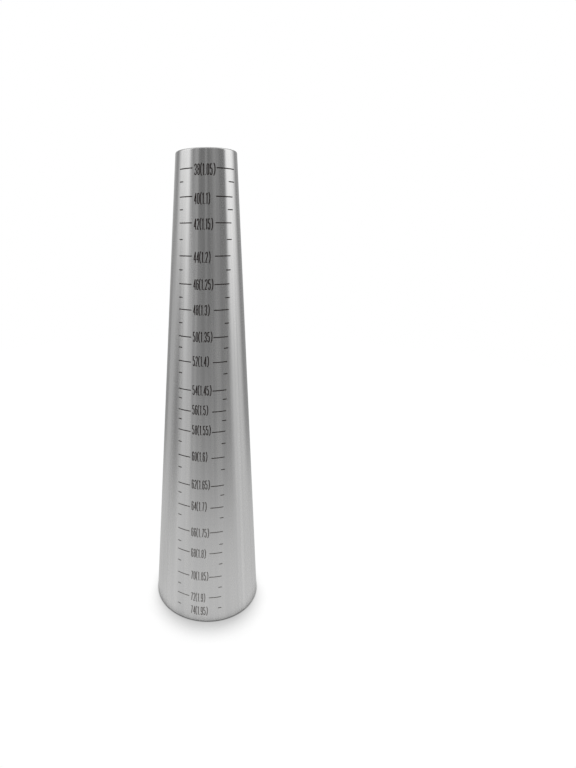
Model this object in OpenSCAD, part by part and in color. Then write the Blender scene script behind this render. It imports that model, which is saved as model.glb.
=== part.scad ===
// Bracelet mandrel: a tall round taper of steel on which bracelets are sized and shaped.
// The taper is a hollow sleeve, closed at its small end by a welded plug and stiffened at its
// foot by a welded ring. A scale of diameters, in millimetres, is blackened down its front.
// Millimetres, +Z up the axis, origin at the middle of the foot, scale facing -Y.

/* [Taper] */
// Height from the foot to the small end
length = 304; // [260:1:340]
// Diameter of the small end
small_d = 36.9; // [36:0.1:37.8]
// Diameter of the large end, at the foot
big_d = 74.3; // [74.1:0.1:80]
// Wall thickness, square to the surface
wall = 4.5; // [4:0.1:6]
// Radius of the rounded edge at the small end
end_round = 1.0; // [0.5:0.1:1.4]
// Chamfer round the foot
foot_chamfer = 0.6; // [0.3:0.1:1.2]
// Width of the ledges inside, which the plug and the ring seat on
seat_ledge = 1.0; // [0.6:0.1:1.4]

/* [End plug] */
// Thickness of the plug in the small end
plug_t = 9; // [8:0.5:14]
// Clearance round the plug
plug_fit = 0.03; // [0.02:0.01:0.08]
// Chamfer round the plug's inner face
plug_chamfer = 0.5; // [0.3:0.1:1]
// Leg of the weld between the plug and the sleeve
end_weld_leg = 1.2; // [0.8:0.1:1.4]
// Diameter of the centre hole's mouth
centre_mouth_d = 8.5; // [7:0.1:10]
// Diameter of the centre hole's pilot
centre_pilot_d = 4; // [3:0.1:5]
// Depth of the centre hole, down to the end of its pilot
centre_depth = 6.4; // [6:0.1:6.6]

/* [Foot ring] */
// Height of the ring in the foot
ring_h = 10; // [8:0.5:16]
// Bore of the ring
ring_bore_d = 56; // [46:0.5:58]
// Clearance round the ring
ring_fit = 0.03; // [0.02:0.01:0.08]
// Chamfer of the ring's edges
ring_chamfer = 0.8; // [0.4:0.1:1.2]
// How far the ring sits above the surface that the mandrel stands on
ring_recess = 3; // [2.8:0.1:6]
// Leg of the weld fillet under the ring
foot_weld_leg = 2.4; // [1.6:0.1:2.5]

/* [Scale] */
// Smallest bracelet diameter on the scale
first_size = 38; // [38:2:42]
// Largest bracelet diameter on the scale
last_size = 74; // [70:2:74]
// Step of diameter from one number to the next
size_step = 2; // [2:1:4]
// Number in brackets beside the smallest size
first_bracket = 1.05; // [0.05:0.05:1.05]
// Step of the number in brackets
bracket_step = 0.05; // [0.05:0.05:0.1]
// Thickness of the black film that the scale is made of
film_t = 0.1; // [0.08:0.01:0.2]
// Thickness of a mark
mark_t = 0.6; // [0.4:0.01:0.8]
// Outer ends of the marks on the left, from the front line of the taper
left_reach = 11.65; // [11:0.05:13]
// Outer ends of the long marks on the right, from the front line of the taper
right_reach = 18.35; // [17.9:0.05:18.4]
// Length of a long mark on the left
left_mark = 8.85; // [7:0.05:9.2]
// Outer ends of the short marks on the right, from the front line of the taper
right_short_reach = 18.65; // [18.3:0.05:18.9]
// Length of a short mark on the left
left_short_mark = 2.6; // [1.5:0.1:4]
// Length of a short mark on the right
right_short_mark = 2.3; // [1.5:0.1:4]

/* [Numbers] */
// Gap from a left mark to its number
number_gap = 1.05; // [0.8:0.05:2]
// Gap from the widest number to the marks on its right
right_gap = 0.45; // [0.35:0.01:0.9]
// Height of a digit
digit_h = 6.2; // [5:0.1:6.4]
// Width of a digit
digit_w = 1.5; // [1.45:0.01:1.8]
// Width of a one
one_w = 0.8; // [0.75:0.01:1.1]
// Height of a bracket
bracket_h = 7.5; // [6:0.1:7.6]
// Width of a bracket
bracket_w = 1.35; // [0.8:0.01:1.5]
// Width and height of the decimal point
point_w = 0.5; // [0.4:0.01:0.7]
// Thickness of the strokes
pen = 0.54; // [0.4:0.01:0.6]
// Gap between characters
letter_gap = 0.28; // [0.25:0.01:0.45]
// Room on each side of the decimal point, beside that gap
point_gap = 0.12; // [0.05:0.01:0.3]
// Gap on each side of a bracket
bracket_gap = 0.14; // [0.1:0.01:0.4]

/* [Hidden] */
$fn = 96;

// The taper
taper_angle = atan((big_d - small_d) / 2 / length);
wall_across = wall / cos(taper_angle);
function r_at(z) = (big_d - (big_d - small_d) * z / length) / 2;
function r_in(z) = r_at(z) - wall_across;
round_parts = 5;
round_r = r_at(length - end_round) - end_round / cos(taper_angle);
top_edge = [for (k = [0:round_parts])
    let (a = taper_angle + (90 - taper_angle) * k / round_parts)
    [round_r + end_round * cos(a), length - end_round + end_round * sin(a)]];

// Seats of the plug and the ring
plug_seat_z = length - plug_t;
plug_seat_r = r_in(plug_seat_z) + seat_ledge;
plug_r = plug_seat_r - plug_fit;
ring_top_z = ring_recess + ring_h;
ring_seat_r = r_in(ring_top_z) + seat_ledge;
ring_r = ring_seat_r - ring_fit;

// The centre hole: a mouth of 60 degrees, a pilot and a drilled tip of 118 degrees
mouth_depth = (centre_mouth_d - centre_pilot_d) / 2 / tan(30);
tip_depth = centre_pilot_d / 2 / tan(59);

// Heights of the sizes. The scale was set out by hand on the real piece, so its marks stray
// from an even step: the shares are of the height over which the taper grows by 1 mm.
grow_z = length / (big_d - small_d);
function even_z(size) = (big_d - size) * grow_z;
size_drift_shares = [-0.24, -0.14, 0.06, -0.26, -0.28, -0.16, -0.18, -0.08, -0.28, 0.06,
                     0.42, 0.29, -0.07, 0.07, -0.09, 0.04, -0.11, -0.02, 0];
half_drift_shares = [0.08, 0.02, 0, 0, -0.05, 0, 0.09, 0.16, 0.1, 0.05,
                     0.07, 0.15, 0.1, 0.14, -0.18, 0.05, -0.06, -0.03];
number_drift_shares = [-0.11, -0.15, -0.09, -0.08, 0, 0.02, 0.04, 0.09, 0.04, 0.14,
                       0.16, 0.12, 0.13, 0.12, -0.03, -0.02, 0.08, -0.01, 0];
function share_of(shares, i) = i < len(shares) ? shares[i] : 0;
size_count = floor((last_size - first_size) / size_step) + 1;
function size_of(i) = first_size + i * size_step;
function size_z(i) = even_z(size_of(i)) + share_of(size_drift_shares, i) * grow_z;
function half_z(i) = (size_z(i) + size_z(i + 1)) / 2 + share_of(half_drift_shares, i) * grow_z;

// A number strays from its marks too. The lowest one has no room for a mark, and is raised clear
// of the foot.
foot_margin = 4.6;
function set_z(i) = size_z(i) + share_of(number_drift_shares, i) * grow_z;
function number_z(i) = max(set_z(i), foot_margin + bracket_h / 2);
function has_mark(i) = size_z(i) > foot_margin;
// The sizes are written whole, and the numbers in brackets to this share of one
written_share = 0.01;
function size_text(i) = str(round(size_of(i)));
function bracket_of(i) = first_bracket + i * bracket_step;
function bracket_text(i) = str("(", round(bracket_of(i) / written_share) * written_share, ")");

// Places across the scale, from the front line of the taper. The widest number sets where the
// marks on its right begin.
number_x = -left_reach + left_mark + number_gap;
function row_end(line) = number_x + glyph_x(line, len(line) - 1) + glyph_w(line[len(line) - 1]);
number_end = max([for (i = [0:size_count - 1]) row_end(str(size_text(i), bracket_text(i)))]);
right_mark_x = number_end + right_gap;

// The middle lines of a digit's strokes
half_pen = pen / 2;
line_l = half_pen;
line_r = digit_w - half_pen;
line_m = digit_w / 2;
line_foot = half_pen;
line_top = digit_h - half_pen;
bend_w = line_r - line_l;
bend_parts = 4;
// The furthest that a corner reaches from the middle line, against half the pen
mitre_limit = 1.8;

// Heights and places inside the digits, as shares of a digit's height and width
bend_share = 0.14;
one_flag_share = 0.84;
two_turn_share = 0.66;
three_waist_share = 0.52;
three_slope_share = 0.12;
four_bar_share = 0.24;
four_stem_share = 0.56;
five_bowl_share = 0.6;
six_loop_share = 0.6;
seven_foot_share = 0.2;
eight_waist_share = 0.53;
eight_nip_share = 0.1;
tail_share = 0.05;
bend_h = digit_h * bend_share;
// The loop of a six ends this share of the pen short of its stem
loop_end_share = 0.12;

// Points of a curve round mid, half as wide and high as half, from one angle to another
function bend(mid, half, from, to) = [for (k = [0:bend_parts])
    let (a = from + (to - from) * k / bend_parts)
    mid + [half[0] * cos(a), half[1] * sin(a)]];
function top_bend(from, to) = bend([line_m, line_top - bend_h], [bend_w / 2, bend_h], from, to);
function foot_bend(from, to) = bend([line_m, line_foot + bend_h], [bend_w / 2, bend_h], from, to);

function unit(v) = v / norm(v);
function left_of(v) = [-v[1], v[0]];
// Way from a corner on a stroke's middle line to its left edge
function corner(before, after) =
    let (n = unit(left_of(before) + left_of(after)))
    n * half_pen * min(1 / (n * left_of(before)), mitre_limit);
function stroke_ways(line) = [for (i = [0:len(line) - 2]) unit(line[i + 1] - line[i])];
function stroke_edge(line) = let (ways = stroke_ways(line), last = len(line) - 1)
    [for (i = [0:last])
        i == 0 ? left_of(ways[0]) * half_pen :
        i == last ? left_of(ways[last - 1]) * half_pen :
        corner(ways[i - 1], ways[i])];

// A stroke of the pen along a middle line
module stroke(line) {
    edge = stroke_edge(line);
    last = len(line) - 1;
    polygon(concat([for (i = [0:last]) line[i] + edge[i]],
                   [for (i = [last:-1:0]) line[i] - edge[i]]));
}

// An outline with holes in it
module pierced(outline, holes) {
    rims = concat([outline], holes);
    starts = [for (i = 0, s = 0; i < len(rims); s = s + len(rims[i]), i = i + 1) s];
    polygon([for (rim = rims) each rim],
            [for (i = [0:len(rims) - 1]) [for (k = [0:len(rims[i]) - 1]) starts[i] + k]]);
}

// A closed loop of the pen's edge, half a pen out from or in from the round ends' middle lines
function loop_edge(low, high, out) = concat(
    bend([line_m, high - bend_h], [bend_w / 2 + out, bend_h + out], 0, 180),
    bend([line_m, low + bend_h], [bend_w / 2 + out, bend_h + out], 180, 360));

module zero() {
    pierced(loop_edge(line_foot, line_top, half_pen), [loop_edge(line_foot, line_top, -half_pen)]);
}

module one() {
    stem = one_w - pen;
    flag = digit_h * one_flag_share;
    polygon([[stem, 0], [one_w, 0], [one_w, digit_h], [stem, digit_h],
             [0, flag + half_pen], [0, flag - half_pen], [stem, digit_h - pen * 2]]);
}

module two() {
    tail = [line_l, line_top - bend_h - digit_h * tail_share];
    turn = [line_r, digit_h * two_turn_share];
    stroke(concat([tail], top_bend(180, 0), [turn, [line_l, line_foot], [line_r, line_foot]]));
}

module three() {
    waist = digit_h * three_waist_share;
    rise = digit_h * three_slope_share;
    tail = bend_h + digit_h * tail_share;
    stroke(concat([[line_l, line_top - tail]], top_bend(180, 0),
                  [[line_r, waist + rise], [line_m, waist], [line_r, waist - rise]],
                  foot_bend(0, -180), [[line_l, line_foot + tail]]));
}

module four() {
    bar = digit_h * four_bar_share;
    stem = digit_w * four_stem_share;
    arm = (digit_h - bar - pen) / stem;
    pierced([[stem, 0], [stem + pen, 0], [stem + pen, bar], [digit_w, bar],
             [digit_w, bar + pen], [stem + pen, bar + pen], [stem + pen, digit_h], [stem, digit_h],
             [0, bar + pen], [0, bar], [stem, bar]],
            [[[pen, bar + pen], [stem, bar + pen], [stem, bar + pen + arm * (stem - pen)]]]);
}

module five() {
    bowl = digit_h * five_bowl_share;
    tail = bend_h + digit_h * tail_share;
    stroke(concat([[line_r, line_top], [line_l, line_top], [line_l, bowl]],
                  bend([line_m, bowl - bend_h], [bend_w / 2, bend_h], 90, 0),
                  foot_bend(0, -180), [[line_l, line_foot + tail]]));
}

module six() {
    loop = digit_h * six_loop_share;
    tail = bend_h + digit_h * tail_share;
    stroke(concat([[line_r, line_top - tail]], top_bend(0, 180), foot_bend(180, 360),
                  bend([line_m, loop - bend_h], [bend_w / 2, bend_h], 0, 90),
                  [[line_l + half_pen + pen * loop_end_share, loop]]));
}

module seven() {
    foot = [digit_w * seven_foot_share + half_pen, line_foot];
    stroke([[line_l, line_top], [line_r, line_top], foot]);
}

module eight() {
    waist = digit_h * eight_waist_share;
    nip = digit_w * eight_nip_share;
    outline = concat(
        bend([line_m, line_top - bend_h], [digit_w / 2, bend_h + half_pen], 0, 180), [[nip, waist]],
        bend([line_m, line_foot + bend_h], [digit_w / 2, bend_h + half_pen], 180, 360),
        [[digit_w - nip, waist]]);
    pierced(outline, [loop_edge(line_foot, waist, -half_pen), loop_edge(waist, line_top, -half_pen)]);
}

module nine() {
    translate([digit_w, digit_h]) rotate(180) six();
}

// A left bracket, which turns this far each way from its middle, and its mirror image
module bracket_open() {
    turn = 80;
    bulge = [bracket_w - pen, bracket_h / 2 - half_pen];
    translate([0, (digit_h - bracket_h) / 2])
        stroke(bend([bracket_w - half_pen, bracket_h / 2], bulge, 180 - turn, 180 + turn));
}

module bracket_close() {
    translate([bracket_w, 0]) mirror([1, 0]) bracket_open();
}

module glyph(c) {
    if (c == "0") zero();
    if (c == "1") one();
    if (c == "2") two();
    if (c == "3") three();
    if (c == "4") four();
    if (c == "5") five();
    if (c == "6") six();
    if (c == "7") seven();
    if (c == "8") eight();
    if (c == "9") nine();
    if (c == "(") bracket_open();
    if (c == ")") bracket_close();
    if (c == ".") square(point_w);
}

function is_bracket(c) = c == "(" || c == ")";
function glyph_w(c) =
    c == "1" ? one_w :
    c == "." ? point_w :
    is_bracket(c) ? bracket_w : digit_w;
// Gap between two characters, which is narrower beside a bracket and wider beside a point
function gap_between(c, d) =
    is_bracket(c) || is_bracket(d) ? bracket_gap :
    c == "." || d == "." ? letter_gap + point_gap : letter_gap;
// Where character k of a line starts, from the start of the line
function glyph_x(line, k) = k == 0 ? 0 :
    glyph_x(line, k - 1) + glyph_w(line[k - 1]) + gap_between(line[k - 1], line[k]);

// A line of characters, centred in height on y = 0
module written(line) {
    for (k = [0:len(line) - 1])
        translate([glyph_x(line, k), -digit_h / 2]) glyph(line[k]);
}

// A mark, centred in height on y = 0, from its left end
module mark(mark_length) {
    translate([0, -mark_t / 2]) square([mark_length, mark_t]);
}

// The drawings of the scale, as seen from the front
module draw_long_marks(x, mark_length) {
    for (i = [0:size_count - 1]) if (has_mark(i)) translate([x, size_z(i)]) mark(mark_length);
}

module draw_short_marks(x, mark_length) {
    for (i = [0:size_count - 2]) translate([x, half_z(i)]) mark(mark_length);
}

module draw_sizes() {
    for (i = [0:size_count - 1]) translate([number_x, number_z(i)]) written(size_text(i));
}

module draw_brackets() {
    for (i = [0:size_count - 1]) {
        size_line = size_text(i);
        bracket_line = bracket_text(i);
        translate([number_x + glyph_x(str(size_line, bracket_line), len(size_line)), number_z(i)])
            written(bracket_line);
    }
}

// The taper as a solid cone, larger all round by what outset says
module cone(outset) {
    cylinder(r1 = r_at(0) + outset, r2 = r_at(length) + outset, h = length);
}

// A drawing laid straight onto the front of the taper, as a film on its surface
module filmed() {
    color([0.24, 0.2, 0.19]) intersection() {
        rotate([90, 0, 0]) linear_extrude(height = big_d) children();
        difference() {
            cone(film_t);
            cone(0);
        }
    }
}

module taper_sleeve() {
    color([0.72, 0.72, 0.73]) rotate_extrude() polygon(concat(
        [[ring_seat_r, 0], [r_at(0) - foot_chamfer, 0], [r_at(foot_chamfer), foot_chamfer]],
        top_edge,
        [[plug_seat_r + end_weld_leg, length], [plug_seat_r, length - end_weld_leg],
         [plug_seat_r, plug_seat_z], [r_in(plug_seat_z), plug_seat_z],
         [r_in(ring_top_z), ring_top_z], [ring_seat_r, ring_top_z]]));
}

module end_plug() {
    color([0.66, 0.66, 0.67]) rotate_extrude() polygon([
        [0, plug_seat_z], [plug_r - plug_chamfer, plug_seat_z], [plug_r, plug_seat_z + plug_chamfer],
        [plug_r, length - end_weld_leg], [plug_r - end_weld_leg, length],
        [centre_mouth_d / 2, length], [centre_pilot_d / 2, length - mouth_depth],
        [centre_pilot_d / 2, length - centre_depth], [0, length - centre_depth - tip_depth]]);
}

module end_weld() {
    color([0.6, 0.59, 0.58]) rotate_extrude() polygon([
        [plug_r, length - end_weld_leg], [plug_seat_r, length - end_weld_leg],
        [plug_seat_r + end_weld_leg, length], [plug_r - end_weld_leg, length]]);
}

module foot_ring() {
    bore_r = ring_bore_d / 2;
    color([0.62, 0.62, 0.63]) rotate_extrude() polygon([
        [bore_r + ring_chamfer, ring_recess], [ring_r, ring_recess],
        [ring_r, ring_top_z - ring_chamfer], [ring_r - ring_chamfer, ring_top_z],
        [bore_r + ring_chamfer, ring_top_z], [bore_r, ring_top_z - ring_chamfer],
        [bore_r, ring_recess + ring_chamfer]]);
}

module foot_weld() {
    color([0.5, 0.49, 0.48]) rotate_extrude() polygon([
        [ring_seat_r, ring_recess - foot_weld_leg], [ring_seat_r, ring_recess],
        [ring_seat_r - foot_weld_leg, ring_recess]]);
}

module long_marks_left() { filmed() draw_long_marks(-left_reach, left_mark); }
module long_marks_right() { filmed() draw_long_marks(right_mark_x, right_reach - right_mark_x); }
module short_marks_left() { filmed() draw_short_marks(-left_reach, left_short_mark); }
module short_marks_right() {
    filmed() draw_short_marks(right_short_reach - right_short_mark, right_short_mark);
}
module size_numbers() { filmed() draw_sizes(); }
module bracket_numbers() { filmed() draw_brackets(); }

taper_sleeve();
end_plug();
end_weld();
foot_ring();
foot_weld();
long_marks_left();
long_marks_right();
short_marks_left();
short_marks_right();
size_numbers();
bracket_numbers();
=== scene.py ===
# %% [markdown]
# # A steel bracelet mandrel
#
# The real object is a tall taper of steel, turned and polished on a lathe, with a scale of
# diameters blackened down its front. Bracelets slide down it to be measured and rounded.
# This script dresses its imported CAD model: it gives each piece a finer mesh and a finish,
# and sets it on a white floor under soft studio light.
#
# All that shows on the real one is its steel, so most of the likeness is in how that steel
# reflects the room. The shapes come first, then the finishes, and the light last.

import math

import bmesh
import bpy
from mathutils import Matrix, Vector, geometry, noise


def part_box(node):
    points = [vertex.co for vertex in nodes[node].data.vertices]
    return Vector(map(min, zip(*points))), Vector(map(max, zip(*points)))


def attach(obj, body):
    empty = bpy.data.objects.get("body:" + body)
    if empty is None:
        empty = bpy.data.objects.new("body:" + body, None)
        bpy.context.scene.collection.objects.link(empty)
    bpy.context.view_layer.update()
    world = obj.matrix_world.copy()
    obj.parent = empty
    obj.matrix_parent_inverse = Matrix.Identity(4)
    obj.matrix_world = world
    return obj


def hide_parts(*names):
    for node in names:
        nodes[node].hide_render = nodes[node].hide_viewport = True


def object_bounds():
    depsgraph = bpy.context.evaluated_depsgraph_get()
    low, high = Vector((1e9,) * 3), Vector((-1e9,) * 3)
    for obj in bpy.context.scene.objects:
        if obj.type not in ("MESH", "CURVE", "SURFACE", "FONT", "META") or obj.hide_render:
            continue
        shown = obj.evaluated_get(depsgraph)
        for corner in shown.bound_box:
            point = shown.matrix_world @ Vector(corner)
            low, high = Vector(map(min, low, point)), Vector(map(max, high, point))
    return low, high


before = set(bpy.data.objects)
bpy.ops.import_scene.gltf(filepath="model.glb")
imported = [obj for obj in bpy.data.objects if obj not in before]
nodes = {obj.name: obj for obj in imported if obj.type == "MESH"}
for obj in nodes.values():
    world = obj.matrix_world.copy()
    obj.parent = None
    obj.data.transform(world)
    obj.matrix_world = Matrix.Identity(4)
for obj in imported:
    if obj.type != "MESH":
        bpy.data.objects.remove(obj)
cad_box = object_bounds()
MM = 0.001
print("nodes:", ", ".join(sorted(nodes)))

# %% [markdown]
# ## Reading a turned piece back
#
# Five of the pieces are turned, so each is fully told by its outline: the radius at every
# height. The outline could be typed again here, but then it could drift away from the CAD.
# Instead it is read from the CAD mesh, whose vertices all lie on rings round the axis. Two
# rings that share an edge are neighbours in the outline.

# %% Outline of a turned node
RING_DIGITS = 6


def ring_of(vertex):
    """The ring that a vertex lies on: its distance from the axis and its height."""
    radius = math.hypot(vertex.co.x, vertex.co.y)
    return (round(radius, RING_DIGITS), round(vertex.co.z, RING_DIGITS))


def neighbours_of(mesh):
    """For each ring, the rings that an edge joins it to."""
    rings = [ring_of(v) for v in mesh.vertices]
    near = {ring: set() for ring in rings}
    for edge in mesh.edges:
        a, b = (rings[i] for i in edge.vertices)
        if a != b:
            near[a].add(b)
            near[b].add(a)
    return near


def turned_outline(node):
    """The rings of a turned node in order. An outline that is open ends on the axis."""
    near = neighbours_of(nodes[node].data)
    ends = sorted(ring for ring in near if len(near[ring]) == 1)
    walk = [ends[0] if ends else min(near)]
    while True:
        onward = [ring for ring in sorted(near[walk[-1]]) if ring not in walk]
        if not onward:
            break
        walk.append(onward[0])
    points = [Vector(ring) for ring in walk]
    if ends:
        points += [Vector((0, points[-1].y))] if points[-1].x else []
        points = ([Vector((0, points[0].y))] if points[0].x else []) + points
    return points


for name in ("taper_sleeve", "end_plug", "foot_ring"):
    print(name, "has", len(turned_outline(name)), "rings in its outline")

# %% [markdown]
# ## Softening the outline
#
# No turned edge is a perfect corner: the file breaks it, and the thin round that is left
# catches a line of light. Each corner of the outline becomes a short curve. A bevel modifier
# would do the same on the finished mesh, but on the outline it costs a few points only, and
# they run evenly round the piece.

# %% Straighten, soften and divide an outline
STRAIGHT = 0.004 * MM


def off_line(a, b, c):
    """How far b lies from the line through a and c."""
    along = (c - a).normalized()
    return abs((b - a).cross(along))


def straightened(points, closed):
    """The points without those that lie on a straight stretch."""
    last = len(points) - 1
    kept = []
    for i, point in enumerate(points):
        is_end = not closed and i in (0, last)
        if is_end or off_line(points[i - 1], point, points[(i + 1) % len(points)]) > STRAIGHT:
            kept.append(point)
    return kept


def softened(points, closed, radius, parts=4):
    """The points with each corner cut back by radius, at most, and bridged by a curve."""
    reach_share = 0.4
    out = []
    for i, point in enumerate(points):
        if not closed and i in (0, len(points) - 1):
            out.append(point)
            continue
        before = points[i - 1] - point
        after = points[(i + 1) % len(points)] - point
        start = point + before.normalized() * min(radius, before.length * reach_share)
        end = point + after.normalized() * min(radius, after.length * reach_share)
        for k in range(parts + 1):
            t = k / parts
            out.append(start.lerp(point, t).lerp(point.lerp(end, t), t))
    return out


def divided(points, closed, step):
    """The points with more of them along each stretch that is longer than step."""
    out = []
    for a, b in zip(points, points[1:] + points[:1] * closed):
        count = max(1, round((b - a).length / step))
        out += [a.lerp(b, k / count) for k in range(count)]
    return out if closed else out + [points[-1]]


square = [Vector(corner) for corner in ((0, 0), (1, 0), (1, 1), (0, 1))]
print("a softened square has", len(softened(square, True, 0.1)), "points")

# %% [markdown]
# ## Turning the outline into a mesh
#
# The outline is carried round the axis, as the lathe does it. A screw modifier does this too,
# but written out it is a few lines, and it leaves one clean vertex where the outline meets the
# axis. Quads that all run along the axis and round it give clean reflections, which matter
# more on polished steel than on any other finish: one uneven normal shows as a kink.

# %% Lathe
AROUND = 240
SHARP_ANGLE = math.radians(50)


def ring_points(point, around):
    """One vertex on the axis, or a ring of them round it."""
    if point.x < STRAIGHT:
        return [Vector((0, 0, point.y))]
    turn = 2 * math.pi / around
    return [Vector((point.x * math.cos(k * turn), point.x * math.sin(k * turn), point.y))
            for k in range(around)]


def bridge(bm, low, high):
    """Faces between two rings, or between a ring and a vertex on the axis."""
    count = max(len(low), len(high))
    for k in range(count):
        corners = [low[k % len(low)], low[(k + 1) % len(low)],
                   high[(k + 1) % len(high)], high[k % len(high)]]
        bm.faces.new(list(dict.fromkeys(corners)))


def finished(name, bm):
    """An object made of the mesh, smooth but for its sharp edges."""
    bmesh.ops.recalc_face_normals(bm, faces=bm.faces)
    mesh = bpy.data.meshes.new(name)
    bm.to_mesh(mesh)
    bm.free()
    mesh.polygons.foreach_set("use_smooth", [True] * len(mesh.polygons))
    mesh.set_sharp_from_angle(angle=SHARP_ANGLE)
    obj = bpy.data.objects.new(name, mesh)
    bpy.context.scene.collection.objects.link(obj)
    print(name, "has", len(mesh.polygons), "faces")
    return obj


def lathe(name, points, closed, around=AROUND):
    """A turned piece from its outline."""
    bm = bmesh.new()
    rings = [[bm.verts.new(p) for p in ring_points(point, around)] for point in points]
    for low, high in zip(rings, rings[1:] + rings[:1] * closed):
        bridge(bm, low, high)
    return finished(name, bm)


# %% [markdown]
# ## The taper
#
# The taper is a hollow sleeve with one straight side from foot to end, and its edges are
# broken by a file. A cone primitive would give the outside alone, with no wall and no edges,
# so the sleeve's whole outline is turned, inside and out. The inside is never polished: it is
# left as the tube came from the mill, so those faces get a darker steel later on.

# %% The taper sleeve
EDGE_BREAK = 0.35 * MM
RING_STEP = 6 * MM

sleeve_outline = straightened(turned_outline("taper_sleeve"), closed=True)
sides = zip(sleeve_outline, sleeve_outline[1:] + sleeve_outline[:1])
taper_low, taper_high = sorted(max(sides, key=lambda ab: (ab[1] - ab[0]).length),
                               key=lambda p: p.y)


def taper_radius(height):
    """Radius of the taper's outside at a height."""
    return taper_low.lerp(taper_high, (height - taper_low.y) / (taper_high.y - taper_low.y)).x


soft = softened(sleeve_outline, True, EDGE_BREAK)
sleeve = lathe("steel_taper", divided(soft, True, RING_STEP), closed=True)
height = cad_box[1].z
print(f"taper: {taper_radius(0) * 2 / MM:.2f} mm at the foot, "
      f"{taper_radius(height) * 2 / MM:.2f} mm at the end, {height / MM:.1f} mm tall")

# %% [markdown]
# ## The plug and the foot ring
#
# Both are plain turned pieces, held inside the sleeve. The plug keeps the centre hole that
# the whole taper was turned on, and the ring keeps its bore. They could be shown as the CAD
# has them, but its facets and perfect corners would show in the metal. So their outlines come
# back as the sleeve's did, the plug's with a smaller break on its edges.

# %% The plug and the ring
SMALL_BREAK = 0.2 * MM
FACE_STEP = 3 * MM


def turned_piece(name, node, edge_break, closed):
    """A turned CAD node as a softened piece with a finer mesh."""
    points = straightened(turned_outline(node), closed)
    return lathe(name, divided(softened(points, closed, edge_break), closed, FACE_STEP), closed)


plug = turned_piece("turned_plug", "end_plug", SMALL_BREAK, closed=False)
ring = turned_piece("turned_ring", "foot_ring", EDGE_BREAK, closed=True)

# %% [markdown]
# ## The weld in the foot
#
# A bead holds the ring in the foot, and it is left as it was laid: each time the pool froze
# it left a crescent, so the bead is a row of ripples. A bump map could draw them, but it
# would leave the bead's edge straight, so here the ripples are in the mesh.

# %% The bead in the foot
BEAD_AROUND = 960
BEAD_ACROSS = 12
RIPPLES = 108
RIPPLE_DEPTH = 0.11 * MM
RIPPLE_BEND = 2.6
BEAD_CROWN = 0.3 * MM
WANDER = 0.12 * MM
# Each pair is a noise's scale and its seed
WANDER_NOISE = (9, 1.5)
RIPPLE_NOISE = (14, 4.5)

bead_low, bead_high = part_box("foot_weld")
seat_radius = bead_high.x
bead_leg = bead_high.z - bead_low.z


def around_noise(angle, scale, seed):
    """Smooth noise that closes on itself after one turn."""
    return noise.noise(Vector((math.cos(angle) * scale, math.sin(angle) * scale, seed)))


def bead_point(angle, across):
    """A point of the bead's face: across runs from the sleeve's wall to the ring."""
    wander = WANDER * around_noise(angle, *WANDER_NOISE)
    wall = Vector((seat_radius, bead_low.z))
    under = Vector((seat_radius - bead_leg - wander, bead_high.z))
    outward = Vector((-1, -1)).normalized()
    crown = BEAD_CROWN * math.sin(math.pi * across)
    crescent = RIPPLE_BEND * (2 * across - 1) ** 2
    wave = 0.5 + 0.5 * math.cos(angle * RIPPLES + crescent + around_noise(angle, *RIPPLE_NOISE))
    ripple = RIPPLE_DEPTH * wave ** 2 * math.sin(math.pi * across)
    return wall.lerp(under, across) + outward * (crown + ripple)


def laid_bead():
    """The bead as it was laid, rippled all the way round."""
    bm = bmesh.new()
    rows = []
    for k in range(BEAD_AROUND):
        angle = 2 * math.pi * k / BEAD_AROUND
        line = [bead_point(angle, j / BEAD_ACROSS) for j in range(BEAD_ACROSS + 1)]
        line.append(Vector((seat_radius, bead_high.z)))
        spin = (math.cos(angle), math.sin(angle))
        rows.append([bm.verts.new((p.x * spin[0], p.x * spin[1], p.y)) for p in line])
    for row, onward in zip(rows, rows[1:] + rows[:1]):
        bridge(bm, row, onward)
    return finished("foot_bead", bm)


foot_bead = laid_bead()

# %% [markdown]
# ## The weld at the small end
#
# The bead round the plug is ground flush with the face. What is left to see is a band of
# other metal with an uneven border on both sides. A ring with round borders would read as a
# machined groove, so both borders wander a little, and the band stands a hair proud.

# %% The bead at the small end, ground flush
PROUD = 0.02 * MM
BORDER_WANDER = 0.16 * MM
OUTER_NOISE = (12, 7.5)
INNER_NOISE = (11, 2.5)

weld_low, weld_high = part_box("end_weld")
plug_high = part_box("end_plug")[1]


def ground_weld():
    """The ground bead, from its seat in the steel up to its uneven face."""
    weld_depth = weld_high.z - weld_low.z
    seat = weld_high.x - weld_depth
    bm = bmesh.new()
    rows = []
    for k in range(BEAD_AROUND):
        angle = 2 * math.pi * k / BEAD_AROUND
        outer = weld_high.x + BORDER_WANDER * around_noise(angle, *OUTER_NOISE)
        inner = plug_high.x - weld_depth - BORDER_WANDER * around_noise(angle, *INNER_NOISE)
        line = [Vector((plug_high.x, weld_low.z)), Vector((inner, height + PROUD)),
                Vector((outer, height + PROUD)), Vector((seat, weld_low.z))]
        spin = (math.cos(angle), math.sin(angle))
        rows.append([bm.verts.new((p.x * spin[0], p.x * spin[1], p.y)) for p in line])
    for row, onward in zip(rows, rows[1:] + rows[:1]):
        bridge(bm, row, onward)
    return finished("ground_weld", bm)


end_bead = ground_weld()

# %% [markdown]
# ## Where the scale is
#
# The scale is laid out in the CAD: every mark and every character there is a small solid of
# its own. The places could be worked out again from the diameters, but the real scale was set
# out by hand and strays from an even step. So each node is split into its solids, and the box
# round each solid says where to draw it again, finer.

# %% Boxes of the solids in a node
MERGE = 0.001 * MM


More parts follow.
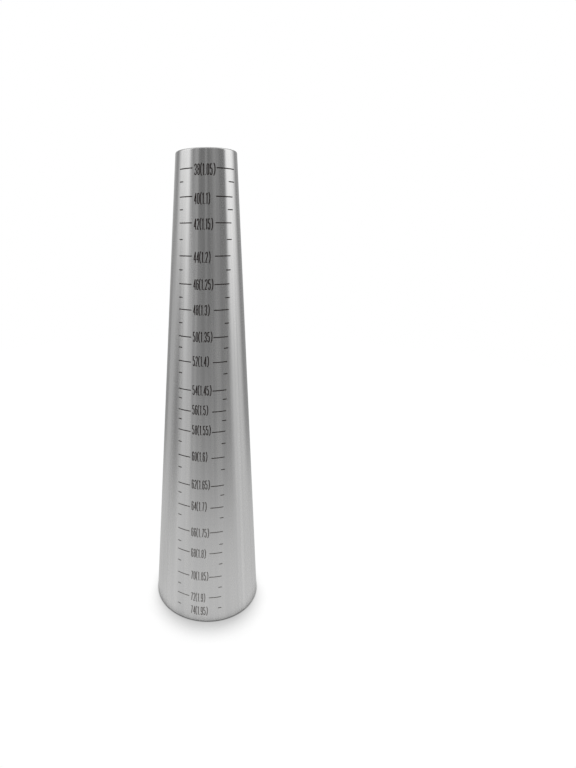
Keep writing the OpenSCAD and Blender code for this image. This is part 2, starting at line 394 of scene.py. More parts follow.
def solids_of(node):
    """The lowest and highest corners of each separate solid in a CAD node."""
    bm = bmesh.new()
    bm.from_mesh(nodes[node].data)
    bmesh.ops.remove_doubles(bm, verts=bm.verts, dist=MERGE)
    seen, boxes = set(), []
    for first in bm.verts:
        if first in seen:
            continue
        seen.add(first)
        solid, queue = [], [first]
        while queue:
            vertex = queue.pop()
            solid.append(vertex.co.copy())
            for edge in vertex.link_edges:
                other = edge.other_vert(vertex)
                if other not in seen:
                    seen.add(other)
                    queue.append(other)
        boxes.append((Vector(map(min, *solid)), Vector(map(max, *solid))))
    bm.free()
    return boxes


for name in ("long_marks_left", "size_numbers", "bracket_numbers"):
    print(name, "holds", len(solids_of(name)), "solids")

# %% [markdown]
# ## Laying a drawing on the taper
#
# The real scale is burnt or printed on, so it follows the steel exactly. Each drawing is
# filled flat, cut into narrow strips so that it can bend, pushed straight back onto the
# taper and given a thickness of a few hundredths of a millimetre. A texture could carry
# the same marks, but it would blur when the camera comes close, and a mesh doesn't.

# %% Film on the steel
FILM_UP = 0.03 * MM
FILM_DOWN = 0.03 * MM
STRIP = 0.45 * MM


def on_taper(x, z, out):
    """The point of the taper's front that lies straight behind a point of the drawing."""
    radius = taper_radius(z) + out
    return Vector((x, -math.sqrt(radius * radius - x * x), z))


def flat_faces(bm, loops):
    """Fills an outline, with any holes in it, in the drawing's plane."""
    rims = [[Vector((p.x, 0, p.y)) for p in loop] for loop in loops]
    corners = [bm.verts.new(p) for rim in rims for p in rim]
    for triangle in geometry.tessellate_polygon([[p.xzy for p in rim] for rim in rims]):
        bm.faces.new([corners[i] for i in triangle])


def cut_in_strips(bm):
    """Cuts the drawing along upright lines, so that it bends with the taper."""
    left = min(v.co.x for v in bm.verts)
    right = max(v.co.x for v in bm.verts)
    for k in range(1, math.ceil((right - left) / STRIP)):
        everything = bm.verts[:] + bm.edges[:] + bm.faces[:]
        bmesh.ops.bisect_plane(bm, geom=everything, dist=MERGE,
                               plane_co=(left + k * STRIP, 0, 0), plane_no=(1, 0, 0))


def film(name, drawings):
    """A thin black film on the taper, from a list of drawings."""
    bm = bmesh.new()
    for loops in drawings:
        flat_faces(bm, loops)
    cut_in_strips(bm)
    top = bm.faces[:]
    flat = {v: v.co.copy() for v in bm.verts}
    made = bmesh.ops.extrude_face_region(bm, geom=top, use_keep_orig=True)
    raised = [v for v in made["geom"] if isinstance(v, bmesh.types.BMVert)]
    for v in raised:
        v.co = on_taper(v.co.x, v.co.z, FILM_UP)
    for v, place in flat.items():
        v.co = on_taper(place.x, place.z, -FILM_DOWN)
    return finished(name, bm)


# %% [markdown]
# ## The marks
#
# A mark is a plain bar. Long marks stand on both sides of each number, and short marks stand
# half way between. The CAD's bars have square ends and would do from afar, but a tool that
# runs in and out leaves round ones, so each bar is drawn again with a half circle at each end.

# %% Marks
END_PARTS = 6


def bar(low, high):
    """A level bar with round ends, inside a box."""
    half = (high.z - low.z) / 2
    middle = (high.z + low.z) / 2
    loop = []
    for centre, start in ((high.x - half, -90), (low.x + half, 90)):
        for k in range(END_PARTS + 1):
            angle = math.radians(start + 180 * k / END_PARTS)
            loop.append(Vector((centre + half * math.cos(angle), middle + half * math.sin(angle))))
    return [loop]


mark_nodes = ("long_marks_left", "long_marks_right", "short_marks_left", "short_marks_right")
marks = {node: film("black_" + node, [bar(*box) for box in solids_of(node)])
         for node in mark_nodes}

# %% [markdown]
# ## The characters
#
# The numbers are tall and narrow, drawn with one even stroke. A font would give wide digits
# with thick and thin strokes, so the digits are drawn here: each is a middle line that the
# pen follows, or a closed outline where the line meets itself. Widths and heights are shares
# of the box that the CAD gives to the character.

# %% The pen
PEN = 0.54 * MM
HALF_PEN = PEN / 2
BEND_PARTS = 10
MITRE_LIMIT = 1.8


def bend(middle, half, start, end):
    """Points of a curve round a middle, half as wide and as high as half says."""
    angles = [math.radians(start + (end - start) * k / BEND_PARTS) for k in range(BEND_PARTS + 1)]
    return [middle + Vector((half.x * math.cos(a), half.y * math.sin(a))) for a in angles]


def left_of(way):
    """The direction a quarter turn to the left."""
    return Vector((-way.y, way.x))


def stroke(line):
    """The outline of a pen stroke along a middle line."""
    ways = [(b - a).normalized() for a, b in zip(line, line[1:])]
    edge = [left_of(ways[0]) * HALF_PEN]
    for before, after in zip(ways, ways[1:]):
        across = (left_of(before) + left_of(after)).normalized()
        reach = min(1 / across.dot(left_of(before)), MITRE_LIMIT)
        edge.append(across * HALF_PEN * reach)
    edge.append(left_of(ways[-1]) * HALF_PEN)
    there = [p + e for p, e in zip(line, edge)]
    back = [p - e for p, e in zip(line, edge)]
    return there + back[::-1]


print("a straight stroke has", len(stroke([Vector((0, 0)), Vector((0, 1))])), "corners")

# %% [markdown]
# ## The box of a character
#
# Digits share their strokes: the same bend closes the top of 2, 3, 6, 8 and 9. Each could be
# typed as a list of points, but a change of width would then mean ten changes. A cell holds
# the levels and bends that the digits have in common, worked out from its width and height.

# %% A character's box
DIGIT = (1.5 * MM, 6.2 * MM)
BEND_SHARE = 0.14
TAIL_SHARE = 0.05


class Cell:
    """The box of one character, and the middle lines of its outer strokes."""

    def __init__(self, width, height):
        self.width = width
        self.height = height
        self.left = HALF_PEN
        self.right = width - HALF_PEN
        self.middle = width / 2
        self.foot = HALF_PEN
        self.top = height - HALF_PEN
        self.bend = height * BEND_SHARE
        self.tail = self.bend + height * TAIL_SHARE

    def curve(self, level, out, start, end):
        """A bend of the full width round a level, out from the middle line of the stroke."""
        half = Vector(((self.right - self.left) / 2 + out, self.bend + out))
        return bend(Vector((self.middle, level)), half, start, end)

    def top_bend(self, start, end):
        return self.curve(self.top - self.bend, 0, start, end)

    def foot_bend(self, start, end):
        return self.curve(self.foot + self.bend, 0, start, end)

    def loop(self, low, high, out):
        """A closed loop between two levels."""
        return (self.curve(high - self.bend, out, 0, 180)[:-1]
                + [self.curve(high - self.bend, out, 180, 180)[0]]
                + self.curve(low + self.bend, out, 180, 360))


print(f"a digit's bends are {Cell(*DIGIT).bend / MM:.2f} mm high")

# %% [markdown]
# ## The digits and the brackets
#
# Each character is a short function of its cell. One that is a single line is drawn with the
# pen. One that closes on itself is an outline with holes, because a pen that crosses its own
# line would lay the film twice. The closing bracket is the opening one, mirrored.

# %% The digits 0 to 4
ONE_FLAG_SHARE = 0.84
TWO_TURN_SHARE = 0.66
THREE_WAIST_SHARE = 0.52
THREE_SLOPE_SHARE = 0.12
FOUR_BAR_SHARE = 0.24
FOUR_STEM_SHARE = 0.56


def points(*pairs):
    return [Vector(pair) for pair in pairs]


def zero(c):
    return [c.loop(c.foot, c.top, HALF_PEN), c.loop(c.foot, c.top, -HALF_PEN)]


def one(c):
    stem = c.width - PEN
    flag = c.height * ONE_FLAG_SHARE
    return [points((stem, 0), (c.width, 0), (c.width, c.height), (stem, c.height),
                   (0, flag + HALF_PEN), (0, flag - HALF_PEN), (stem, c.height - 2 * PEN))]


def two(c):
    tail = points((c.left, c.top - c.tail))
    end = points((c.right, c.height * TWO_TURN_SHARE), (c.left, c.foot), (c.right, c.foot))
    return [stroke(tail + c.top_bend(180, 0) + end)]


def three(c):
    waist = c.height * THREE_WAIST_SHARE
    rise = c.height * THREE_SLOPE_SHARE
    middle = points((c.right, waist + rise), (c.middle, waist), (c.right, waist - rise))
    return [stroke(points((c.left, c.top - c.tail)) + c.top_bend(180, 0) + middle
                   + c.foot_bend(0, -180) + points((c.left, c.foot + c.tail)))]


def four(c):
    bar_low = c.height * FOUR_BAR_SHARE
    bar_high = bar_low + PEN
    stem = c.width * FOUR_STEM_SHARE
    slope = (c.height - bar_high) / stem
    outline = points((stem, 0), (stem + PEN, 0), (stem + PEN, bar_low), (c.width, bar_low),
                     (c.width, bar_high), (stem + PEN, bar_high), (stem + PEN, c.height),
                     (stem, c.height), (0, bar_high), (0, bar_low), (stem, bar_low))
    hole = points((PEN, bar_high), (stem, bar_high), (stem, bar_high + slope * (stem - PEN)))
    return [outline, hole]


print("the 4 has", len(four(Cell(*DIGIT))), "loops")

# %% The digits 5 to 9, and the point
BOWL_SHARE = 0.6
SEVEN_FOOT_SHARE = 0.2
EIGHT_WAIST_SHARE = 0.53
EIGHT_NIP_SHARE = 0.1
LOOP_END_SHARE = 0.12


def five(c):
    bowl = c.height * BOWL_SHARE
    flag = points((c.right, c.top), (c.left, c.top), (c.left, bowl))
    return [stroke(flag + c.curve(bowl - c.bend, 0, 90, 0) + c.foot_bend(0, -180)
                   + points((c.left, c.foot + c.tail)))]


def six(c):
    bowl = c.height * BOWL_SHARE
    end = points((c.left + HALF_PEN + PEN * LOOP_END_SHARE, bowl))
    return [stroke(points((c.right, c.top - c.tail)) + c.top_bend(0, 180) + c.foot_bend(180, 360)
                   + c.curve(bowl - c.bend, 0, 0, 90) + end)]


def seven(c):
    foot = (c.width * SEVEN_FOOT_SHARE + HALF_PEN, c.foot)
    return [stroke(points((c.left, c.top), (c.right, c.top), foot))]


def eight(c):
    waist = c.height * EIGHT_WAIST_SHARE
    nip = c.width * EIGHT_NIP_SHARE
    outline = (c.curve(c.top - c.bend, HALF_PEN, 0, 180) + points((nip, waist))
               + c.curve(c.foot + c.bend, HALF_PEN, 180, 360) + points((c.width - nip, waist)))
    return [outline, c.loop(c.foot, waist, -HALF_PEN), c.loop(waist, c.top, -HALF_PEN)]


def nine(c):
    return [[Vector((c.width - p.x, c.height - p.y)) for p in loop] for loop in six(c)]


def point(c):
    return [points((0, 0), (c.width, 0), (c.width, c.height), (0, c.height))]


print("the 8 has", len(eight(Cell(*DIGIT))), "loops")

# %% The brackets
BRACKET_TURN = 80


def open_bracket(c):
    half = Vector((c.width - PEN, c.height / 2 - HALF_PEN))
    middle = Vector((c.width - HALF_PEN, c.height / 2))
    return [stroke(bend(middle, half, 180 - BRACKET_TURN, 180 + BRACKET_TURN))]


def close_bracket(c):
    return [[Vector((c.width - p.x, p.y)) for p in loop[::-1]] for loop in open_bracket(c)]


CHARACTERS = {"0": zero, "1": one, "2": two, "3": three, "4": four, "5": five, "6": six,
              "7": seven, "8": eight, "9": nine, ".": point,
              "(": open_bracket, ")": close_bracket}
print("characters:", *CHARACTERS)

# %% [markdown]
# ## The numbers
#
# The sizes go up by two from the small end, and the numbers in brackets beside them by a
# twentieth. Text objects could write them, but each character has its own place in the CAD.
# Its solids come in no given order, so they are sorted first: from the top down a new row
# starts where the height drops by more than a row's reach, and along a row they run from left
# to right. Then each is drawn in its own box.

# %% Rows of characters
FIRST_SIZE = 38
SIZE_STEP = 2
FIRST_BRACKET = 1.05
BRACKET_STEP = 0.05
ROW_REACH = 5 * MM
CELLS = {"1": (0.8 * MM, 6.2 * MM), ".": (0.5 * MM, 0.5 * MM),
         "(": (1.35 * MM, 7.5 * MM), ")": (1.35 * MM, 7.5 * MM)}


def middle_height(box):
    return (box[0].z + box[1].z) / 2


def rows_of(boxes):
    """The boxes of each row of the scale, from the top, and from left to right in a row."""
    rows = []
    for box in sorted(boxes, key=middle_height, reverse=True):
        if rows and middle_height(rows[-1][0]) - middle_height(box) < ROW_REACH:
            rows[-1].append(box)
        else:
            rows.append([box])
    return [sorted(row, key=lambda box: box[0].x) for row in rows]


print(len(rows_of(solids_of("size_numbers"))), "rows of numbers")


# %% Draw the numbers
def fitted(loops, low, high):
    """The loops, moved and stretched a little to fill a box."""
    everything = [p for loop in loops for p in loop]
    left, foot = (min(p[i] for p in everything) for i in (0, 1))
    right, top = (max(p[i] for p in everything) for i in (0, 1))
    wide = (high.x - low.x) / (right - left)
    tall = (high.z - low.z) / (top - foot)
    return [[Vector((low.x + (p.x - left) * wide, low.z + (p.y - foot) * tall)) for p in loop]
            for loop in loops]


def drawn(text, row):
    """The drawings of a line of text, each character in its own box."""
    return [fitted(CHARACTERS[character](Cell(*CELLS.get(character, DIGIT))), *box)
            for character, box in zip(text, row, strict=True)]


def size_text(i):
    return str(FIRST_SIZE + SIZE_STEP * i)


def bracket_text(i):
    return f"({round(FIRST_BRACKET + BRACKET_STEP * i, 2):g})"


def numbers(name, node, text_of):
    """All the numbers of one node as a film."""
    rows = rows_of(solids_of(node))
    return film(name, [d for i, row in enumerate(rows) for d in drawn(text_of(i), row)])


sizes = numbers("black_sizes", "size_numbers", size_text)
brackets = numbers("black_brackets", "bracket_numbers", bracket_text)

# %% [markdown]
# ## Writing materials in nodes
#
# A material is a small graph. It could be built with a line for each node and a line for each
# link, but the finish would be hard to see among them. The helper below adds one node, links
# or sets its inputs in order, and hands back its output, so that a graph reads like a sum.

# %% Graph helper
class Graph:
    """Adds nodes to a material's or the world's tree."""

    def __init__(self, tree):
        self.tree = tree
        tree.nodes.clear()

    def put(self, socket, value):
        if isinstance(value, bpy.types.NodeSocket):
            self.tree.links.new(value, socket)
        elif value is not None:
            socket.default_value = value

    def node(self, kind, *inputs, **settings):
        made = self.tree.nodes.new(kind)
        for name, value in settings.items():
            setattr(made, name, value)
        for socket, value in zip(made.inputs, inputs):
            self.put(socket, value)
        return made

    def math(self, operation, *inputs, clamp=False):
        return self.node("ShaderNodeMath", *inputs, operation=operation, use_clamp=clamp).outputs[0]

    def vector(self, operation, *inputs):
        return self.node("ShaderNodeVectorMath", *inputs, operation=operation).outputs[0]

    def between(self, value, low, high, start=0.0, end=1.0, smooth=True):
        """Start where value is low, end where it is high, and a smooth step from one to the other."""
        kind = "SMOOTHSTEP" if smooth else "LINEAR"
        return self.node("ShaderNodeMapRange", value, low, high, start, end,
                         interpolation_type=kind).outputs[0]

    def noise(self, place, scale, detail=2.0):
        made = self.node("ShaderNodeTexNoise", noise_dimensions="3D")
        self.put(made.inputs["Vector"], place)
        made.inputs["Scale"].default_value = scale
        made.inputs["Detail"].default_value = detail
        return made.outputs["Fac"]

    def mixed(self, share, low, high):
        """A number between two, by share."""
        made = self.node("ShaderNodeMix", share, data_type="FLOAT")
        self.put(made.inputs["A"], low)
        self.put(made.inputs["B"], high)
        return made.outputs["Result"]

    def tint(self, share, dark, light):
        """A colour between two, by share."""
        made = self.node("ShaderNodeMix", data_type="RGBA")
        self.put(made.inputs["Factor"], share)
        made.inputs["A"].default_value = (*dark, 1)
        made.inputs["B"].default_value = (*light, 1)
        return made.outputs["Result"]


# %% [markdown]
# ## Steel off the lathe
#
# The taper is polished while it spins, so its finest scratches run round it. They spread a
# reflection up and down but keep it narrow from side to side, and that is why the photograph
# shows long upright bands. Thousands of modelled scratches would do this slowly and noisily.
# The anisotropic setting of the shader does it at once, with its direction turned a quarter
# so that the spread runs along the axis.
#
# The places come from the object's own coordinates. Round the axis they are brought to the
# same distance first, so that a streak keeps its width from foot to end and has no seam.

# %% Places on a turned piece
def round_and_along(graph, round_scale, along_scale):
    """A place that changes round the axis and along it at two different rates."""
    place = graph.node("ShaderNodeTexCoord").outputs["Object"]
    parts = graph.node("ShaderNodeSeparateXYZ", place).outputs
    flat = graph.node("ShaderNodeCombineXYZ", parts["X"], parts["Y"], 0.0).outputs[0]
    spoke = graph.vector("NORMALIZE", flat)
    wide = graph.node("ShaderNodeCombineXYZ", round_scale, round_scale, 0.0).outputs[0]
    rise = graph.math("MULTIPLY", parts["Z"], along_scale)
    lift = graph.node("ShaderNodeCombineXYZ", 0.0, 0.0, rise).outputs[0]
    return graph.vector("ADD", graph.vector("MULTIPLY", spoke, wide), lift)


# %% The steel shader
QUARTER_TURN = 0.25
BUMP_DEPTH = 0.002 * MM


def steel_shader(graph, colour, roughness, normal, anisotropy):
    """A metal whose highlights are drawn out across the tool's lines."""
    shader = graph.node("ShaderNodeBsdfPrincipled")
    shader.inputs["Metallic"].default_value = 1.0
    shader.inputs["Anisotropic"].default_value = anisotropy
    shader.inputs["Anisotropic Rotation"].default_value = QUARTER_TURN
    graph.put(shader.inputs["Base Color"], colour)
    graph.put(shader.inputs["Roughness"], roughness)
    graph.put(shader.inputs["Normal"], normal)
    tangent = graph.node("ShaderNodeTangent", direction_type="RADIAL", axis="Z")
    graph.put(shader.inputs["Tangent"], tangent.outputs[0])
    graph.node("ShaderNodeOutputMaterial", shader.outputs[0])


def new_material(name):
    """An empty material and the graph to fill it with."""
    made = bpy.data.materials.new(name)
    made.use_nodes = True
    return made, Graph(made.node_tree)


def bump_of(g, grain, strength, depth):
    """The normal of a surface that a grain lifts by depth."""
    bump = g.node("ShaderNodeBump")
    bump.inputs["Strength"].default_value = strength
    bump.inputs["Distance"].default_value = depth
    g.put(bump.inputs["Height"], grain)
    return bump.outputs[0]


def told(made):
    """The material, once it has been said what it took."""
    print(made.name, "takes", len(made.node_tree.nodes), "nodes")
    return made


# %% Polished steel
# Each pair is a pattern's rate of change round the axis and along it
STREAKS = (12.0, 2.0)
SMEARS = (2.2, 14.0)
RINGS = (1.5, 3800.0)
STREAK_SHARE = 0.7
RING_SHARE = 0.25
DARK_POLISH = (0.55, 0.55, 0.55)
PALE_POLISH = (0.64, 0.637, 0.633)
POLISH_ROUGHNESS = (0.22, 0.30)


def polished_steel():
    """The taper's outside: fine rings round it, faint streaks and smears along it."""
    made, g = new_material("polished_steel")
    streaks = g.noise(round_and_along(g, *STREAKS), 1.0, detail=3.0)
    smears = g.noise(round_and_along(g, *SMEARS), 1.0, detail=3.0)
    rings = g.noise(round_and_along(g, *RINGS), 1.0, detail=2.0)
    shade = g.math("ADD", g.math("MULTIPLY", streaks, STREAK_SHARE),
                   g.math("MULTIPLY", smears, 1 - STREAK_SHARE))
    blend = g.math("ADD", shade, g.math("MULTIPLY", rings, RING_SHARE))
    colour = g.tint(g.between(shade, 0.3, 0.7), DARK_POLISH, PALE_POLISH)
    roughness = g.between(blend, 0.35, 0.9, *POLISH_ROUGHNESS)
    steel_shader(g, colour, roughness, bump_of(g, rings, 0.25, BUMP_DEPTH), anisotropy=0.96)
    return told(made)


polished = polished_steel()

# %% [markdown]
# ## Steel as the tool left it
#
# The plug and the ring are faced and bored, and never polished. The tool leaves a groove a
# feed's width apart. A noise would give rings of all widths, so here a sine of the distance
# travelled, along a face or up a bore, draws grooves that are all alike.

# %% Turned steel
FEED = 0.35 * MM
DARK_TURNED = (0.46, 0.46, 0.465)
PALE_TURNED = (0.56, 0.56, 0.56)
TURNED_ROUGHNESS = (0.26, 0.36)
CLOUD_SCALE = 260.0


def turned_steel():
    """The plug and the ring, as the tool left them: clear rings of one feed's width."""
    made, g = new_material("turned_steel")
    place = g.node("ShaderNodeTexCoord").outputs["Object"]
    parts = g.node("ShaderNodeSeparateXYZ", place).outputs
    flat = g.node("ShaderNodeCombineXYZ", parts["X"], parts["Y"], 0.0).outputs[0]
    radius = g.node("ShaderNodeVectorMath", flat, operation="LENGTH").outputs["Value"]
    travel = g.math("MULTIPLY", g.math("ADD", radius, parts["Z"]), 2 * math.pi / FEED)
    groove = g.math("SINE", travel)
    cloud = g.noise(place, CLOUD_SCALE, detail=3.0)
    colour = g.tint(g.between(cloud, 0.3, 0.7), DARK_TURNED, PALE_TURNED)
    roughness = g.between(cloud, 0.3, 0.7, *TURNED_ROUGHNESS)
    steel_shader(g, colour, roughness, bump_of(g, groove, 0.5, 4 * BUMP_DEPTH), anisotropy=0.7)
    return told(made)


turned = turned_steel()

# %% [markdown]
# ## Mill steel and weld metal
#
# The sleeve's inside keeps the dull grey-brown skin of hot rolled tube. The bead in the foot
# is duller than turned steel, and a little straw coloured where it got hot. The steel shader
# would draw its light out in lines that neither has, so both are plain metals with a clouded
# colour, and one function makes them, and the ground bead too.

# %% Dull metals
GRAIN_RATE = 9.0


def dull_metal(name, dark, light, low_rough, high_rough, scale, depth):
    """A metal with no grain: clouds of colour and a fine uneven skin."""
    made, g = new_material(name)
    place = g.node("ShaderNodeTexCoord").outputs["Object"]
    cloud = g.noise(place, scale, detail=5.0)
    grain = g.noise(place, scale * GRAIN_RATE, detail=3.0)
    shader = g.node("ShaderNodeBsdfPrincipled")
    shader.inputs["Metallic"].default_value = 1.0
    g.put(shader.inputs["Base Color"], g.tint(g.between(cloud, 0.35, 0.65), dark, light))
    g.put(shader.inputs["Roughness"], g.between(cloud, 0.3, 0.7, low_rough, high_rough))
    g.put(shader.inputs["Normal"], bump_of(g, grain, 0.6, depth))
    g.node("ShaderNodeOutputMaterial", shader.outputs[0])
    return told(made)


mill = dull_metal("mill_steel", (0.10, 0.095, 0.09), (0.20, 0.19, 0.18),
                  0.45, 0.65, scale=90.0, depth=0.02 * MM)
bead_metal = dull_metal("weld_metal", (0.30, 0.27, 0.23), (0.44, 0.43, 0.42),
                        0.28, 0.45, scale=160.0, depth=0.01 * MM)
ground = dull_metal("ground_weld_metal", (0.46, 0.45, 0.43), (0.54, 0.54, 0.535),
                    0.26, 0.34, scale=300.0, depth=0.004 * MM)

# %% [markdown]
# ## The black of the scale
#
# The marks are a matt brown-black. High on the taper they are at their darkest, and low down
# they are a little grey. One flat black would do from afar, but it looks like a sticker from
# close by. So the grey comes in with height, with a fine mottle on top of it.

# %% Scale black
FULL_BLACK = (0.012, 0.006, 0.005)
# A greyer black that the marks go towards as they near the foot
GREYER_BLACK = (0.19, 0.182, 0.175)
GREYING_FROM_SHARE = 0.5
GREYING_TO_SHARE = 0.05
MOST_GREYING = 0.9
MOTTLE_SCALE = 2600.0


def scale_black():
    """The black, greyer towards the foot."""
    made, g = new_material("scale_black")
    place = g.node("ShaderNodeTexCoord").outputs["Object"]
    z = g.node("ShaderNodeSeparateXYZ", place).outputs["Z"]
    mottle = g.noise(place, MOTTLE_SCALE, detail=3.0)
    # The share of the greyer black grows from half the height down to near the foot
    blend = g.between(z, GREYING_FROM_SHARE * height, GREYING_TO_SHARE * height, 0.0, MOST_GREYING)
    share = g.math("MULTIPLY", blend, g.between(mottle, 0.2, 0.8, 0.7, 1.1), clamp=True)
    shader = g.node("ShaderNodeBsdfPrincipled")
    g.put(shader.inputs["Base Color"], g.tint(share, FULL_BLACK, GREYER_BLACK))
    g.put(shader.inputs["Roughness"], g.between(mottle, 0.3, 0.7, 0.5, 0.7))
    shader.inputs["Specular IOR Level"].default_value = 0.15
    g.node("ShaderNodeOutputMaterial", shader.outputs[0])
    return told(made)


black = scale_black()

# %% [markdown]
# ## Giving out the finishes
#
# Most pieces are one metal all over. The sleeve is two: polished outside and on its machined
# seats, and raw between the ring and the plug. It could be cut into two objects, but they
# would need a seam, so its faces choose between two materials by where they are.

# %% Give each piece its finish
SKIN = 1.5 * MM
RAW_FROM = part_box("foot_ring")[1].z - 0.5 * MM
RAW_TO = height - 1.0 * MM

sleeve.data.materials.append(polished)
sleeve.data.materials.append(mill)
for face in sleeve.data.polygons:
    inside = math.hypot(face.center.x, face.center.y) < taper_radius(face.center.z) - SKIN
    face.material_index = int(inside and RAW_FROM < face.center.z < RAW_TO)
print(sum(face.material_index for face in sleeve.data.polygons), "faces of raw steel inside")

for piece, finish in ((plug, turned), (ring, turned), (foot_bead, bead_metal), (end_bead, ground),
                      (sizes, black), (brackets, black), *((m, black) for m in marks.values())):
    piece.data.materials.append(finish)

# %% [markdown]
# ## Putting the pieces on the part
#
# Nothing on a mandrel moves, so every piece rides on the one body there is. Each also says
# which node of the CAD it stands for, which hides that node here and keeps it for contact,
# and which finish of the record it wears. One table does it, so that none is forgotten.

# %% Put each piece on the part
STANDS_FOR = [
    (sleeve, "taper_sleeve", "ground_steel"),
    (plug, "end_plug", "turned_steel"),
    (ring, "foot_ring", "turned_steel"),
    (foot_bead, "foot_weld", "weld_metal"),
    (end_bead, "end_weld", "weld_metal"),
    (sizes, "size_numbers", "scale_black"),
    (brackets, "bracket_numbers", "scale_black"),
    *((marks[node], node, "scale_black") for node in mark_nodes),
]
for piece, node, slot in STANDS_FOR:
    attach(piece, "root")
    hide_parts(node)
print(len(STANDS_FOR), "pieces stand for", len(nodes), "nodes")

# %% [markdown]
# ## The camera
#
# A camera and a cone were fitted together to the marks and the outline in the photograph.
# That gave a camera close to the mandrel, as far from its axis as the mandrel is tall, a
# little below the small end and looking slightly down. The middle of the view lies to the
# right of the mandrel, which the lens shift takes care of.

# %% Camera
IMAGE_LONG_SIDE = 768
CAMERA_AZIMUTH = math.radians(15.52)
CAMERA_DISTANCE = 301.25 * MM
CAMERA_HEIGHT = 255.34 * MM
CAMERA_PITCH = math.radians(14.458)
CAMERA_ROLL = math.radians(-0.158)
FOCAL_PIXELS = 466.93
MIDDLE_X, MIDDLE_Y = 206.77, 356.88
IMAGE_WIDTH = 576
SENSOR = 36.0

camera = bpy.data.cameras.new("camera")
camera.sensor_width = SENSOR
camera.lens = FOCAL_PIXELS / IMAGE_LONG_SIDE * SENSOR
camera.shift_x = (IMAGE_WIDTH / 2 - MIDDLE_X) / IMAGE_LONG_SIDE
camera.shift_y = (MIDDLE_Y - IMAGE_LONG_SIDE / 2) / IMAGE_LONG_SIDE
camera.clip_start = 0.01
eye = bpy.data.objects.new("camera", camera)
eye.location = (CAMERA_DISTANCE * math.sin(CAMERA_AZIMUTH),
                -CAMERA_DISTANCE * math.cos(CAMERA_AZIMUTH), CAMERA_HEIGHT)
aim = (Matrix.Rotation(CAMERA_AZIMUTH, 3, "Z") @ Matrix.Rotation(math.pi / 2 - CAMERA_PITCH, 3, "X")
       @ Matrix.Rotation(CAMERA_ROLL, 3, "Z"))
eye.rotation_euler = aim.to_euler()
bpy.context.scene.collection.objects.link(eye)
bpy.context.scene.camera = eye
print(f"lens {camera.lens:.2f} mm, shift {camera.shift_x:.4f}, {camera.shift_y:.4f}")

# %% [markdown]
# ## The floor
#
# The floor is white in the photograph, with a soft shadow close round the foot that is deepest
# on the camera's side. A white floor under lamps would be as bright as the lamps make it. A
# disc that glows at a set level is used instead, for the camera and for the steel, and all
# other light finds plain pale paint. Where the mandrel closes off the sky the disc glows
# less, and ambient occlusion measures that.
#
# What the steel reflects has levels of its own: darker close round the foot, and lit right
# beneath it, so that the underside isn't black when it is seen from below. The disc's rim
# fades out of the reflections, so no edge of it shows in the steel.

# %% The floor's levels
FLOOR_RADIUS = 0.9
FLOOR_FADE_START = 0.12
FLOOR_FADE_END = 0.40
WHITE_LEVEL = 1.01
SHADOW_REACH = 26 * MM
SHADOW_SIDE = (math.sin(CAMERA_AZIMUTH), -math.cos(CAMERA_AZIMUTH), 0.0)
SHADOW_DEPTH = 0.44
SHADOW_CURVE = 1.3
SHADOW_LEAN = 0.24
CONTACT_REACH = 2 * MM
CONTACT_LEVEL = 0.15
# Levels that the steel reflects: close round the foot, away from it, behind it and beneath it
CLOSE_LEVEL = 0.10
AWAY_LEVEL = 0.86
BEHIND_SHARE = 0.88
BENEATH_LEVEL = 0.75
FOOT_RADIUS = taper_radius(0)
print(f"the floor is lit beneath the steel up to {(FOOT_RADIUS - 2.5 * MM) / MM:.1f} mm out")


# %% The floor's material
def open_sky(g, reach):
    """The share of the sky that a place on the floor sees past what stands within reach."""
    made = g.node("ShaderNodeAmbientOcclusion", samples=16)
    made.inputs["Distance"].default_value = reach
    return made.outputs["AO"]


def seen_floor(g, shade, toward):
    """How bright the floor looks: white, with a shadow that leans to one side."""
    lean = g.between(toward, 1.0, 0.0, 0.0, SHADOW_LEAN, smooth=False)
    depth = g.between(g.math("SUBTRACT", shade, lean), 0.06, 0.35, smooth=False)
    dimmed = g.math("MULTIPLY", g.math("POWER", depth, SHADOW_CURVE), SHADOW_DEPTH)
    contact = g.between(open_sky(g, CONTACT_REACH), 0.25, 0.75, CONTACT_LEVEL, 1.0)
    return g.math("MULTIPLY", g.math("SUBTRACT", WHITE_LEVEL, dimmed), contact)


def reflected_floor(g, shade, toward, reach):
    """How bright the floor is in the steel."""
    near = g.between(shade, 0.50, 0.30, CLOSE_LEVEL, AWAY_LEVEL)
    around = g.math("MULTIPLY", near, g.between(toward, -0.3, 0.7, BEHIND_SHARE, 1.0))
    beneath = g.between(reach, FOOT_RADIUS - 2.5 * MM, FOOT_RADIUS - 1.5 * MM, BENEATH_LEVEL, 0.0)
    return g.math("MAXIMUM", around, beneath)


